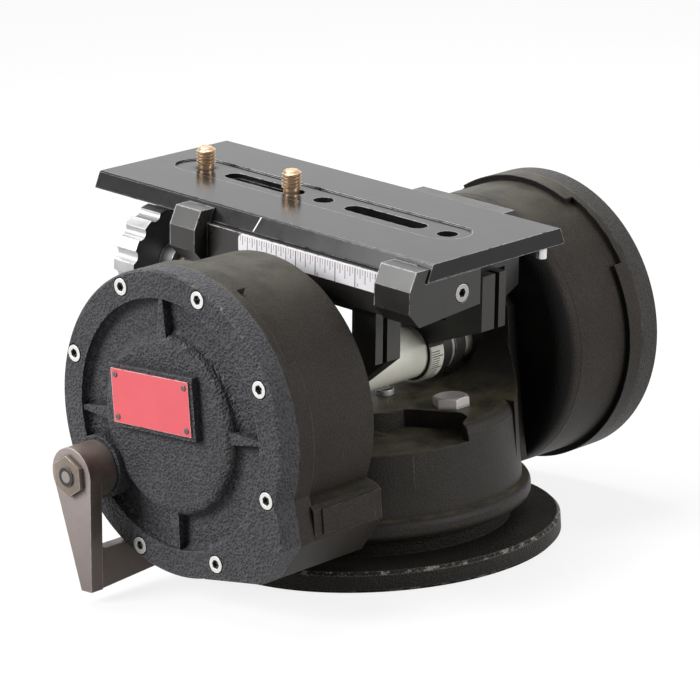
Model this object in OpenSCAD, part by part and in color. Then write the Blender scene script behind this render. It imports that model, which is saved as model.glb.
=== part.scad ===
// Fluid video head: two fluid drums on a panning yoke, with a tilting table and a sliding camera plate.
// Origin: pan axis at the underside of the mounting flange. X runs along the tilt axis, Y along the plate.

/* [Base] */
// Diameter of the mounting flange
flange_d = 176; // [172:1:190]
// Thickness of the mounting flange
flange_t = 10; // [8:0.5:12]
// Diameter of the threaded tie-down hole under the flange
tie_d = 38; // [30:0.5:40]
// Depth of the tie-down hole
tie_depth = 13; // [8:0.5:13.5]
// Width of the locating keyway under the flange
key_w = 12.7; // [8:0.1:16]
// Length of the locating keyway
key_l = 23; // [16:0.5:30]
// Depth of the locating keyway
key_depth = 5; // [4:0.5:6]
// Diameter of the pan post
post_d = 46; // [44:0.5:50]

/* [Yoke] */
// Height of the tilt axis above the flange's underside
axis_h = 86; // [84:0.5:96]
// Diameter of the rounded band around the foot of the yoke
band_d = 149; // [146:1:160]
// Diameter of the yoke's wall above the band
wall_d = 141; // [138:1:144]
// Height of the yoke's deck above the flange's underside
deck_top = 68; // [66:0.5:69]
// Height of the floor of the two scoops beside the deck
scoop_floor = 59.5; // [56:0.5:61]
// Distance from the middle to the inner face of an arm
arm_in = 61; // [60.5:0.1:63]

/* [Drums] */
// Distance from the middle to the outer face of a cover's rim
drum_out = 129.5; // [124:0.5:140]
// Diameter of a cover and of the housing's flange
drum_d = 143; // [138:1:150]
// Wall of a housing round its fluid chamber
house_wall = 8.5; // [7:0.5:11]
// Thickness of a cover at its rim
cover_t = 11.7; // [10:0.1:14]
// Width of a housing's bolting flange
band_w = 9; // [9:0.5:13]
// Number of screws in a cover
cover_screws = 8; // [8:2:10]
// Distance from a cover's edge to the middle of its screws
screw_inset = 5.5; // [5:0.1:6.5]
// Diameter of a cover screw's head
screw_head_d = 7.9; // [6.5:0.1:9]

/* [Cover face] */
// Width of a cover's flat rim
rim_w = 13; // [11.5:0.5:15]
// Width of the sunk ring on a cover
ring_w = 16.5; // [14:0.5:18]
// Depth of the sunk ring
ring_depth = 5; // [3:0.5:6]
// Length of the nameplate
label_l = 51; // [44:0.5:56]
// Height of the nameplate
label_h = 25.4; // [20:0.2:30]

/* [Tilt shaft and legs] */
// Diameter of the tilt shaft
shaft_d = 22.2; // [20:0.2:23]
// Thickness of a leg
leg_t = 8.7; // [7:0.1:9]
// Distance from the middle to the inner face of a leg
leg_in = 27.8; // [26:0.1:29]
// Half the width of a leg, fore and aft
leg_y = 46.7; // [42:0.1:50]
// Angle of the table at rest, as photographed
rest_tilt = 5.5; // [0:0.5:6]

/* [Table] */
// Half the width of the table's block
table_x = 49.5; // [49:0.1:50]
// Front end of the table
table_front = -80; // [-86:0.5:-76]
// Rear end of the table
table_rear = 77; // [76:0.5:84]
// Height of the table's underside above the tilt axis
table_low = 47; // [45:0.5:49]
// Half the width over the jaws
jaw_x = 57.6; // [56:0.1:59]

/* [Camera plate] */
// Width of the plate's top face
plate_w = 86; // [84:0.5:88]
// Length of the plate
plate_l = 222; // [200:1:240]
// Thickness of the plate
plate_t = 8; // [7:0.1:9]
// Rear end of the plate at rest
plate_rear = 141.7; // [136:0.1:146]
// Height of the plate's top face above the tilt axis
plate_top = 75; // [74:0.1:76]
// Flare of the dovetail on each side
plate_flare = 3.5; // [3:0.1:4]
// Width of the long slots
slot_w = 10.2; // [9.8:0.1:11]
// Diameter of the camera screws
cam_screw_d = 9.52; // [9:0.01:9.6]
// Height of the camera screws above the plate
cam_screw_h = 10; // [7:0.5:13]

/* [Lever and knob] */
// Diameter of the lever's hub
hub_d = 26; // [22:0.5:28]
// Length of the lever's hub
hub_l = 16; // [13:0.5:18]
// Clearance between the drum and the lever's grip
grip_gap = 6; // [3:0.5:8]
// Length of the lever's grip under the drum
grip_l = 44; // [30:1:50]
// Diameter of the lock knob
knob_d = 52; // [44:1:52]
// Width of the lock knob
knob_w = 14; // [10:0.5:18]
// Number of flutes round the lock knob
knob_flutes = 14; // [10:1:20]

/* [Fits] */
// Radial running clearance of a shaft in its bore
run = 0.05; // [0.02:0.01:0.08]
// Radial clearance of a ring in its seat
seat = 0.02; // [0.01:0.01:0.05]
// Clearance between parts that pass each other
gap = 0.4; // [0.3:0.05:0.6]

/* [Hidden] */
$fn = 96;
far = 1;
near = -1;

// Base and pan chamber
neck_r = 64;
neck_top = flange_t + 8.5;
yoke_low = neck_top + 0.5;
band_top = yoke_low + 10;
chamber_top = yoke_low + 21;
pan_r = 58;
pan_lid_t = 7;
pan_disc_r = 52;
pan_disc_low = yoke_low + pan_lid_t + 2;
pan_disc_t = 9;
post_r = post_d / 2;
post_foot_t = 4;
post_foot_w = 13;
post_foot_r = post_r + post_foot_w;
pan_race_r = post_r + 9;
pan_race_t = 9;
post_thread_r = post_r - 8;
post_top = chamber_top + pan_race_t;
cap_t = 3;
cap_r = post_r - 0.5;
pan_nut_t = deck_top - cap_t - post_top - 0.3;
cap_rim = 3;
nut_flats = post_d - 10;
scoop_end = 6.5;
scoop_back = 12;
bolt_x = 13.5;
bolt_y = 40;
bolt_flats = 15.3;
bolt_head = 5;
bolt_r = 4;
plug_x = 12;
plug_y = 2;

// Drums, measured outwards from the middle
cover_in = drum_out - cover_t;
gasket_t = 0.8;
house_out = cover_in - gasket_t;
band_in = house_out - band_w;
house_in = arm_in + 5;
drum_r = drum_d / 2;
barrel_r = drum_r - 3;
house_in_r = barrel_r - 0.5;
chamber_r = barrel_r - house_wall;
screw_pcd = drum_d - 2 * screw_inset;
ring_out_r = drum_r - rim_w;
ring_in_r = ring_out_r - ring_w;
wall_in = house_in + 10;
boss_out = drum_out + 1.5;
pad_out = boss_out + 3.8;
rivet_r = 0.8;
label_t = 0.8;
label_y = 3.9;
label_z = 11.5;
foot_y = drum_r - 2.5;
foot_z = 0.668 * drum_r;
foot_cut = 14.5;
foot_bottom = foot_z + 17.4;
block_top = 0.448 * drum_r;

// Tilt shaft and what it carries
shaft_r = shaft_d / 2;
race_r = shaft_r + 13;
seal_r = shaft_r + 8;
rotor_hub_r = shaft_r + 8;
rotor_r = chamber_r - 5;
rotor_t = 4;
stator_t = 3;
rotor_step = 10;
rotor_first = wall_in + 7;
rotor_out = rotor_first + 2 * rotor_step + rotor_t + 1;
shaft_end = house_out - 4;
leg_out = leg_in + leg_t;
leg_hub_r = shaft_r + 3.4;
sleeve_r = shaft_r + 2;
arm_plate_in = leg_out + 3;
arm_plate_t = 4.7;
arm_plate_out = arm_plate_in + arm_plate_t;
washer_t = 2.2;
lock_nut_t = 8;

// Table and plate, in the frame of the tilting table
table_top = plate_top - plate_t - gap;
table_cut_x = -11;
table_cut_y = -41;
jaw_low = table_low;
jaw_top = plate_top - 1.8;
jaw_front_l = 22;
jaw_rear_y = 59;
jaw_rear_l = 17;
jaw_lip = 4.2;
jaw_foot = 6.4;
pad_t = 1.2;
far_jaw_x = table_x + 10.1;
far_jaw_drop = 15.5;
far_jaw_low = table_low - far_jaw_drop;
far_jaw_y = [-41, 18];
jaw_screw_in = 12;
jaw_edge = 11;
jaw_screw_z = table_low + 8;
jaw_screw_l = 22;
front_screw_x = -23;
front_screw_z = table_low + 10.5;
front_screw_l = 17;
leg_screw_l = table_top - table_low + 6.5;
set_r = 2.5;
set_head_d = 8.4;
set_head_h = 5;
set_key = 4;
tap_r = set_r + 0.1;
sink_set_r = set_head_d / 2 + 0.4;
rule_t = 0.8;
rule_h = 9.6;
rule_l = 94;
plate_front = plate_rear - plate_l;
flare_slope = plate_flare / plate_t;
screw_a_y = plate_rear - 29.7;
screw_b_y = plate_rear - 89.2;
slot_a = [plate_rear - 91.2, plate_rear - 50.3];
slot_b = [plate_rear - 171.7, plate_rear - 131.6];
holes_y = [plate_rear - 110.8, plate_rear - 190.9];
sink_r = 12.5;
sink_depth = 0.8;
sink_y = [plate_rear - 189.5, plate_rear - 25.6];
head_r = 9;
head_t = 3.4;
undercut = head_t + 1;
carrier_t = 1.6;
relief = 0.9;
stop_x = 36;
stop_y = plate_front + 5;

// Lever and knob
lever_y = 0.63 * drum_r;
lever_z = -0.357 * drum_r;
lever_boss_r = hub_d / 2 + 2;
lever_boss_out = drum_out + 4.7;
hub_in = lever_boss_out + 0.4;
hub_out = hub_in + hub_l;
stud_r = 4.5;
lever_t = 7;
grip_h = 19;
grip_t = 7;
lever_l = sqrt(drum_r * drum_r - lever_y * lever_y) + lever_z + grip_gap + grip_h;
lever_nut_flats = 17;
lever_nut_h = 2.6;
knob_x = -36;
knob_z = table_low - 9;
knob_y = table_rear + 20;
lug_low = knob_z - 12;
lug_l = 18;
lug_w = 24;
knob_screw_r = 5;

// Shared shapes

// Extrudes an outline drawn in Y and Z from x0 to x1
module along_x(x0, x1) {
    translate([x0, 0, 0]) rotate([90, 0, 90]) linear_extrude(x1 - x0) children();
}

// Extrudes an outline drawn in X and Z from y0 to y1
module along_y(y0, y1) {
    translate([0, y1, 0]) rotate([90, 0, 0]) linear_extrude(y1 - y0) children();
}

// Turns a profile of radius and x about the X axis
module turn_x() {
    rotate([0, 90, 0]) rotate_extrude() children();
}

// Ring about the X axis
module ring_x(x0, x1, r_out, r_in) {
    translate([x0, 0, 0]) rotate([0, 90, 0]) difference() {
        cylinder(h = x1 - x0, r = r_out);
        translate([0, 0, -1]) cylinder(h = x1 - x0 + 2, r = r_in);
    }
}

// Ring about the Z axis
module ring_z(z0, z1, r_out, r_in) {
    translate([0, 0, z0]) difference() {
        cylinder(h = z1 - z0, r = r_out);
        translate([0, 0, -1]) cylinder(h = z1 - z0 + 2, r = r_in);
    }
}

module rod_x(x0, x1, r) {
    translate([x0, 0, 0]) rotate([0, 90, 0]) cylinder(h = x1 - x0, r = r);
}

module rod_y(y0, y1, r) {
    translate([0, y1, 0]) rotate([90, 0, 0]) cylinder(h = y1 - y0, r = r);
}

// Hexagonal prism along Z, measured across its flats
module hex(flats, h) {
    cylinder(h = h, d = flats / cos(30), $fn = 6);
}

// Socket cap screw along +Z, with the top of its head at zero
module cap_screw(head_d, head_h, shank_r, length, socket) {
    difference() {
        union() {
            translate([0, 0, -head_h]) cylinder(h = head_h, d = head_d);
            translate([0, 0, -length]) cylinder(h = length, r = shank_r);
        }
        translate([0, 0, -head_h * 0.6]) hex(socket, head_h);
    }
}

// Places children on the tilt axis, on the far side as drawn or mirrored to the near side
module on_axis(side) {
    translate([0, 0, axis_h]) mirror([side < 0 ? 1 : 0, 0, 0]) children();
}

// Places children in the frame of the tilting table
module on_table() {
    translate([0, 0, axis_h]) rotate([rest_tilt, 0, 0]) children();
}

// Repeats children round the circle of cover screws
module at_cover_screws() {
    for (i = [0 : cover_screws - 1])
        rotate([(i + 0.5) * 360 / cover_screws, 0, 0]) translate([0, 0, screw_pcd / 2]) children();
}

// Base and pan

module base_flange() {
    edge = 1.5;
    color("dimgray") difference() {
        rotate_extrude() polygon([
            [0, 0], [flange_d / 2 - edge, 0], [flange_d / 2, edge], [flange_d / 2, flange_t - edge],
            [flange_d / 2 - edge, flange_t], [neck_r, flange_t], [neck_r, neck_top], [0, neck_top]
        ]);
        translate([0, 0, -1]) cylinder(h = tie_depth + 1, d = tie_d);
        translate([-key_w / 2, flange_d / 2 - key_l, -1]) cube([key_w, key_l + 1, key_depth + 1]);
        post_recess();
        at_flange_screws() translate([0, 0, -1]) {
            cylinder(h = 7, r = 5.2);
            cylinder(h = neck_top + 2, r = 3.1);
        }
    }
}

module at_flange_screws() {
    for (i = [0 : 5]) rotate([0, 0, 30 + i * 60]) translate([post_r + 7.5, 0, 0]) children();
}

// Seat for the foot of the pan post in the top of the flange's neck
module post_recess() {
    translate([0, 0, neck_top - post_foot_t]) cylinder(h = post_foot_t + 1, r = post_foot_r);
}

module flange_screws() {
    color("silver") at_flange_screws() translate([0, 0, 6]) mirror([0, 0, 1])
        translate([0, 0, 5]) cap_screw(9.5, 5, 3, neck_top - post_foot_t + 1.5, 5);
}

module pan_post() {
    foot_low = neck_top - post_foot_t;
    color("lightgray") difference() {
        union() {
            translate([0, 0, foot_low]) cylinder(h = post_foot_t - 0.2, r = post_foot_r - 2 * run);
            translate([0, 0, foot_low]) cylinder(h = post_top - foot_low, r = post_r);
            translate([0, 0, foot_low]) cylinder(h = post_top + pan_nut_t - foot_low, r = post_thread_r);
        }
        at_flange_screws() cylinder(h = foot_low + 3, r = 3.1);
    }
}

module pan_drag_disc() {
    color("slategray") ring_z(pan_disc_low, pan_disc_low + pan_disc_t, pan_disc_r, post_r + seat);
}

module pan_nut() {
    color("lightgray") translate([0, 0, post_top]) difference() {
        hex(nut_flats, pan_nut_t);
        translate([0, 0, -1]) cylinder(h = pan_nut_t + 2, r = post_thread_r + seat);
    }
}

// Yoke

// Half section of the yoke's round body
module yoke_section() {
    band_r = band_d / 2;
    wall_r = wall_d / 2;
    round_r = 4;
    shoulder_r = 5;
    difference() {
        union() {
            translate([0, yoke_low]) square([band_r, band_top - yoke_low]);
            polygon([
                [0, yoke_low], [wall_r, yoke_low], [wall_r, band_top + 2], [wall_r - 2, deck_top],
                [0, deck_top]
            ]);
        }
        translate([wall_r - 2 - shoulder_r, deck_top - shoulder_r]) round_off(shoulder_r);
        translate([band_r - round_r, band_top - round_r]) round_off(round_r);
        translate([band_r - round_r, yoke_low + round_r]) mirror([0, 1]) round_off(round_r);
    }
}

// What a rounding takes off the upper right corner of a section
module round_off(r) {
    difference() {
        square([r + 1, r + 1]);
        circle(r = r);
    }
}

// Outline of an arm, from the yoke's wall up past the tilt axis
module arm_outline() {
    half = wall_d / 4;
    foot = 3.5;
    crown = 29;
    corner = 10;
    polygon([
        [-half - foot, band_top], [half + foot, band_top], [half, axis_h], [half, axis_h + crown - corner],
        [half - corner, axis_h + crown], [corner - half, axis_h + crown], [-half, axis_h + crown - corner],
        [-half, axis_h]
    ]);
}

// Curved web that carries the yoke's wall up into an arm, with room round the shaft
module arm_web() {
    sweep = 26;
    room = shaft_r + 6;
    difference() {
        intersection() {
            cylinder(h = axis_h + sweep, d = wall_d - 1);
            along_y(-wall_d, wall_d) difference() {
                translate([arm_in - sweep, band_top]) square([sweep + 1, deck_top + sweep - band_top]);
                translate([arm_in - sweep, deck_top + sweep]) circle(r = sweep);
            }
        }
        on_axis(far) rod_x(0, arm_in + 2, room);
    }
}

// Scoop that lowers the yoke's top beside the round middle, open to the outside
module scoop() {
    reach = wall_d;
    depth = deck_top - scoop_floor + 1;
    translate([0, 0, scoop_floor]) linear_extrude(depth) difference() {
        polygon([
            [-reach, -reach], [scoop_end - 14, -reach], [scoop_end - 12.5, -65], [scoop_end - 3.5, -60],
            [scoop_end, -53], [scoop_end - 2.5, -45], [scoop_end - 8.5, -29],
            [scoop_end - 16.5, -scoop_back], [-reach, -scoop_back]
        ]);
        circle(r = cap_r + cap_rim);
    }
}

module yoke_casting() {
    color("dimgray") difference() {
        union() {
            intersection() {
                rotate_extrude() yoke_section();
                translate([-house_in, -band_d, 0]) cube([2 * house_in, 2 * band_d, 2 * deck_top]);
            }
            for (side = [near, far]) mirror([side < 0 ? 1 : 0, 0, 0]) {
                along_x(arm_in, house_in) arm_outline();
                arm_web();
            }
        }
        scoop();
        rotate([0, 0, 180]) scoop();
        translate([0, 0, yoke_low - 1]) cylinder(h = chamber_top - yoke_low + 1, r = pan_r);
        translate([0, 0, yoke_low]) cylinder(h = post_top + gap - yoke_low, r = pan_race_r);
        translate([0, 0, post_top]) cylinder(h = deck_top, r = cap_r);
        at_deck_bolts() translate([0, 0, deck_top - 10]) cylinder(h = 11, r = bolt_r + run);
        for (side = [near, far]) on_axis(side) {
            rod_x(arm_in - 1, house_in + 1, seal_r);
        }
    }
}

module at_deck_bolts() {
    for (side = [near, far]) translate([side * bolt_x, side * -bolt_y, 0]) children();
}

module at_deck_plug() {
    translate([plug_x, plug_y, 0]) children();
}

module pan_chamber_lid() {
    color("gray") ring_z(yoke_low, yoke_low + pan_lid_t, pan_r - seat, pan_race_r);
}

module pan_lower_bearing() {
    color("silver") ring_z(yoke_low, yoke_low + pan_lid_t, pan_race_r - seat, post_r + run);
}

module pan_upper_bearing() {
    color("silver") ring_z(chamber_top, post_top, pan_race_r - seat, post_r + run);
}

module pan_seal() {
    color("black") ring_z(yoke_low + pan_lid_t, yoke_low + pan_lid_t + 1.5, pan_race_r + 4, post_r + 0.3);
}

module deck_cap() {
    color("dimgray") difference() {
        translate([0, 0, deck_top - cap_t]) cylinder(h = cap_t, r = cap_r - seat);
        at_deck_plug() translate([0, 0, deck_top - cap_t - 1]) cylinder(h = cap_t + 2, r = 3 + seat);
    }
}

module deck_bolts() {
    color("rosybrown") at_deck_bolts() {
        translate([0, 0, deck_top]) intersection() {
            hex(bolt_flats, bolt_head);
            rotate_extrude() polygon([
                [0, 0], [bolt_flats * 0.6, 0], [bolt_flats * 0.6, bolt_head - 1],
                [bolt_flats * 0.48, bolt_head], [0, bolt_head]
            ]);
        }
        translate([0, 0, deck_top - 10]) cylinder(h = 11, r = bolt_r);
    }
}

module deck_plug() {
    color("gray") at_deck_plug() difference() {
        union() {
            translate([0, 0, deck_top]) cylinder(h = 2.5, r = 4.5);
            translate([0, 0, deck_top - cap_t]) cylinder(h = cap_t + 1, r = 3);
        }
        translate([-5, -0.6, deck_top + 1.3]) cube([10, 1.2, 3]);
    }
}

// Drums

// Outline of the squared foot on the near drum
module foot_outline() {
    polygon([
        [0, 0], [-drum_r * cos(22.5), -drum_r * sin(22.5)], [-foot_y, -foot_z],
        [-foot_y + foot_cut, -foot_bottom], [-drum_r * sin(14), -drum_r * cos(14)]
    ]);
}

// Reliefs in a housing's flange, between its upper screws
module flange_reliefs() {
    from = 28;
    to = 62;
    reach = 2 * drum_r;
    lip = 3.5;
    for (s = [-1, 1]) intersection() {
        ring_x(band_in - 1, house_out - lip, drum_r + 2, barrel_r);
        along_x(band_in - 2, house_out) polygon([
            [0, 0], [s * reach * sin(from), reach * cos(from)], [s * reach * sin(to), reach * cos(to)]
        ]);
    }
}

// Half section of a housing, as radius and x, with its inner end rounded over
module housing_section(end_r) {
    difference() {
        polygon([
            [0, house_in], [house_in_r, house_in], [barrel_r, band_in], [drum_r, band_in],
            [drum_r, house_out], [0, house_out]
        ]);
        translate([house_in_r - end_r, house_in + end_r]) mirror([0, 1]) round_off(end_r);
    }
}

// Raised block on the near housing's lower front, with a bare pad on its face
module housing_block() {
    pad = 0.8;
    lip = 2;
    along_x(band_in, house_out) foot_outline();
    along_x(house_in, band_in + 1) polygon([
        [0, -lip], [-chamber_r, -block_top + lip], [-foot_y + lip, -block_top], [-foot_y, -block_top - lip],
        [-foot_y, -foot_z], [-foot_y + foot_cut, -foot_bottom], [-drum_r * sin(14), -drum_r * cos(14)]
    ]);
    translate([house_in + 5, -foot_y - pad, lip - foot_z])
        cube([band_in - house_in - 9, pad + 1, foot_z - block_top - 2 * lip]);
}

module housing(with_foot, end_r) {
    difference() {
        union() {
            turn_x() housing_section(end_r);
            if (with_foot) housing_block();
        }
        rod_x(wall_in, house_out + 1, chamber_r);
        rod_x(house_in - 1, wall_in + 1, race_r);
        flange_reliefs();
        at_cover_screws() rod_x(house_out - 9, house_out + 1, 2.5);
    }
}

module near_housing() {
    color("dimgray") on_axis(near) housing(true, 1.5);
}

module far_housing() {
    color("dimgray") on_axis(far) housing(false, 10);
}

// Half section of a cover, as radius and x, with a soft sunk ring round a raised middle
module cover_section() {
    edge = 1;
    soft = 3;
    floor_x = drum_out - ring_depth;
    outer = ring_out_r;
    inner = ring_in_r;
    dome = 4.5;
    difference() {
        union() {
            polygon([
                [0, cover_in], [drum_r, cover_in], [drum_r, drum_out - edge], [drum_r - edge, drum_out],
                [0, drum_out]
            ]);
            translate([0, cover_in]) square([inner, boss_out - cover_in]);
        }
        translate([inner, floor_x + soft]) square([outer - inner, boss_out]);
        translate([inner + soft, floor_x]) square([outer - inner - 2 * soft, boss_out]);
        translate([inner + soft, floor_x + soft]) circle(r = soft);
        translate([outer - soft, floor_x + soft]) circle(r = soft);
        translate([inner - dome, boss_out - dome]) round_off(dome);
    }
}

// Rib across the sunk ring, high at the raised middle and low at the rim
module cover_rib() {
    inner = ring_in_r - 4;
    outer = ring_out_r + 0.5;
    floor_x = drum_out - ring_depth - 0.5;
    intersection() {
        along_y(-4, 4) polygon([
            [floor_x, inner], [drum_out + 0.4, inner], [drum_out - 0.8, outer], [floor_x, outer]
        ]);
        along_x(floor_x, drum_out + 1) polygon([[-3.2, inner], [3.2, inner], [1, outer], [-1, outer]]);
    }
}

module cover(with_foot) {
    difference() {
        union() {
            turn_x() cover_section();
            if (with_foot) along_x(cover_in, drum_out) difference() {
                foot_outline();
                circle(r = drum_r - 3);
            }
            for (a = [0 : 90 : 270]) rotate([a, 0, 0]) cover_rib();
        }
        cover_screw_holes();
    }
}

module cover_screw_holes() {
    at_cover_screws() {
        rod_x(cover_in - 1, drum_out + 1, 2.5);
        rod_x(drum_out - 4.3, drum_out + 8, screw_head_d / 2 + 0.6);
    }
}

module near_cover() {
    color("darkslategray") on_axis(near) difference() {
        union() {
            cover(true);
            translate([boss_out - 1, label_y - label_l / 2 - 2, label_z - label_h / 2 - 2])
                cube([pad_out - boss_out + 1, label_l + 4, label_h + 4]);
            translate([0, lever_y, lever_z]) rod_x(cover_in + 1, lever_boss_out, lever_boss_r);
        }
        translate([0, lever_y, lever_z]) rod_x(cover_in - 1, lever_boss_out + 1, stud_r + run);
        cover_screw_holes();
        at_rivets() rod_x(pad_out - 2, pad_out + 1, rivet_r + run);
    }
}

module far_cover() {
    color("darkslategray") on_axis(far) cover(false);
}

module gasket(with_foot) {
    along_x(house_out, cover_in) difference() {
        union() {
            circle(r = drum_r);
            if (with_foot) foot_outline();
        }
        circle(r = chamber_r);
        for (i = [0 : cover_screws - 1])
            rotate((i + 0.5) * 360 / cover_screws) translate([0, screw_pcd / 2]) circle(r = 2.5);
    }
}

module near_gasket() {
    color("black") on_axis(near) gasket(true);
}

module far_gasket() {
    color("black") on_axis(far) gasket(false);
}

module cover_screw_set() {
    head_h = 4.6;
    at_cover_screws() translate([drum_out + 0.3, 0, 0]) rotate([0, 90, 0])
        cap_screw(screw_head_d, head_h, 2.4, cover_t + gasket_t + 8, 4);
}

module near_cover_screws() {
    color("silver") on_axis(near) cover_screw_set();
}

module far_cover_screws() {
    color("silver") on_axis(far) cover_screw_set();
}

module at_rivets() {
    inset = 2.8;
    half_l = label_l / 2 - inset;
    half_h = label_h / 2 - inset;
    for (sy = [-1, 1], sz = [-1, 1])
        translate([0, label_y + sy * half_l, label_z + sz * half_h]) children();
}

module nameplate() {
    color("firebrick") on_axis(near) difference() {
        translate([pad_out, label_y - label_l / 2, label_z - label_h / 2])
            cube([label_t, label_l, label_h]);
        at_rivets() rod_x(pad_out - 1, pad_out + 2, rivet_r + run);
    }
}

module nameplate_rivets() {
    color("silver") on_axis(near) at_rivets() {
        rod_x(pad_out - 1.9, pad_out + label_t + 0.1, rivet_r);
        rod_x(pad_out + label_t, pad_out + label_t + 0.5, 1.6 * rivet_r);
    }
}

module tilt_bearing() {
    ring_x(house_in + 0.5, wall_in, race_r - seat, shaft_r + run);
}

module near_tilt_bearing() {
    color("silver") on_axis(near) tilt_bearing();
}

module far_tilt_bearing() {
    color("silver") on_axis(far) tilt_bearing();
}

module shaft_seal() {
    ring_x(arm_in + 0.5, house_in, seal_r - seat, shaft_r + 0.3);
}

module near_shaft_seal() {
    color("black") on_axis(near) shaft_seal();
}

module far_shaft_seal() {
    color("black") on_axis(far) shaft_seal();
}

module stators() {
    first = rotor_first + rotor_t + (rotor_step - rotor_t - stator_t) / 2;
    for (i = [0, 1]) translate([first + i * rotor_step, 0, 0])
        ring_x(0, stator_t, chamber_r - seat, rotor_hub_r + 2);
}

module near_stators() {
    color("gray") on_axis(near) stators();
}

module far_stators() {
    color("gray") on_axis(far) stators();
}

// Tilt shaft and legs

module tilt_shaft() {
    color("lightgray") on_table() rod_x(-shaft_end, shaft_end, shaft_r);
}

module shaft_sleeve() {
    color("lightgray") on_table() ring_x(gap - leg_in, leg_in - gap, sleeve_r, shaft_r + seat);
}

module rotor() {
    ring_x(wall_in + 2, rotor_out, rotor_hub_r, shaft_r + seat);
    for (i = [0 : 2]) translate([rotor_first + i * rotor_step, 0, 0])
        ring_x(0, rotor_t, rotor_r, shaft_r + 4);
}

module near_rotor() {
    color("slategray") on_table() mirror([1, 0, 0]) rotor();
}

module far_rotor() {
    color("slategray") on_table() rotor();
}

module shaft_end_nuts() {
    color("silver") on_table() for (side = [0, 1]) mirror([side, 0, 0])
        ring_x(rotor_out, shaft_end - 0.5, shaft_r + 5, shaft_r + seat);
}

// Outline of a leg: two struts from the hub up to the table, with a window between them
module leg_outline(hub_r, strut_w, join_y, join_z) {
    foot_z = 20;
    window_y = leg_y - strut_w;
    difference() {
        union() {
            circle(r = hub_r);
            polygon([
                [-leg_y, table_low], [-leg_y, foot_z], [-join_y, join_z], [join_y, join_z],
                [leg_y, foot_z], [leg_y, table_low]
            ]);
        }
        polygon([
            [-window_y, table_low - 4], [-window_y, foot_z + 1], [-10, 18], [10, 18],
            [window_y, foot_z + 1], [window_y, table_low - 4]
        ]);
        circle(r = shaft_r + seat);
    }
}

// The near leg's web runs down under the hub, the far leg's leaves the scale ring free
module near_leg_body() {
    difference() {
        along_x(leg_in, leg_out) leg_outline(leg_hub_r, 22.6, leg_hub_r * 0.64, -leg_hub_r * 0.77);
        leg_screw_holes();
    }
}

module far_leg_body() {
    difference() {
        along_x(leg_in, leg_out) leg_outline(leg_hub_r, 22.6, leg_hub_r * 0.9, leg_hub_r * 0.44);
        leg_screw_holes();
    }
}

// Tapped holes for the table's screws in the tops of the legs
module leg_screw_holes() {
    at_leg_screws() translate([0, 0, table_low - 8]) cylinder(h = 9, r = tap_r);
}

module near_leg() {
    color("gray") on_table() mirror([1, 0, 0]) near_leg_body();
}

module far_leg() {
    color("gray") on_table() far_leg_body();
}

module drive_arm() {
    along_x(arm_plate_in, arm_plate_out) leg_outline(shaft_r + 2.7, 14, shaft_r * 0.9, shaft_r * 0.5);
    ring_x(leg_out, arm_plate_in + 0.5, shaft_r + 2.7, shaft_r + seat);
}

module near_drive_arm() {
    color("dimgray") on_table() mirror([1, 0, 0]) drive_arm();
}

module far_drive_arm() {
    color("dimgray") on_table() drive_arm();
}

module tilt_scale_ring() {
    color("lightgray") on_table() difference() {
        ring_x(leg_in - 0.3, leg_out - 0.3, leg_hub_r + 1, leg_hub_r + seat);
        translate([0, -2 * leg_hub_r, 5]) cube([2 * leg_out, 4 * leg_hub_r, 2 * leg_hub_r]);
    }
}

module shaft_washers() {
    color("silver") on_table() for (side = [0, 1]) mirror([side, 0, 0])
        ring_x(arm_plate_out, arm_plate_out + washer_t, shaft_r + 2.2, shaft_r + seat);
}

module shaft_lock_nuts() {
    start = arm_plate_out + washer_t;
    color("gray") on_table() for (side = [0, 1]) mirror([side, 0, 0]) difference() {
        turn_x() polygon([
            [0, start], [shaft_r + 3, start], [shaft_r + 2, start + lock_nut_t], [0, start + lock_nut_t]
        ]);
        rod_x(start - 1, start + lock_nut_t + 1, shaft_r + seat);
    }
}

// Table

// Half width of the plate's dovetail at a height
function side_at(z) = plate_w / 2 + (plate_top - z) * flare_slope;

module near_jaw_outline() {
    inner = pad_t + gap;
    polygon([
        [-table_x + 1, jaw_low], [-jaw_x + jaw_foot, jaw_low], [-jaw_x, jaw_low + 7],
        [-jaw_x, jaw_top - 8.6], [-jaw_x + jaw_lip, jaw_top], [-side_at(jaw_top) - inner, jaw_top],
        [-side_at(table_top) - inner, table_top], [-table_x + 1, table_top]
    ]);
}

module at_leg_screws() {
    for (sx = [-1, 1], sy = [-1, 1])
        translate([sx * (leg_in + leg_t / 2), sy * (leg_y - 11), 0]) children();
}

module at_front_screw() {
    translate([front_screw_x, table_front, front_screw_z]) rotate([90, 0, 0]) children();
}

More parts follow.
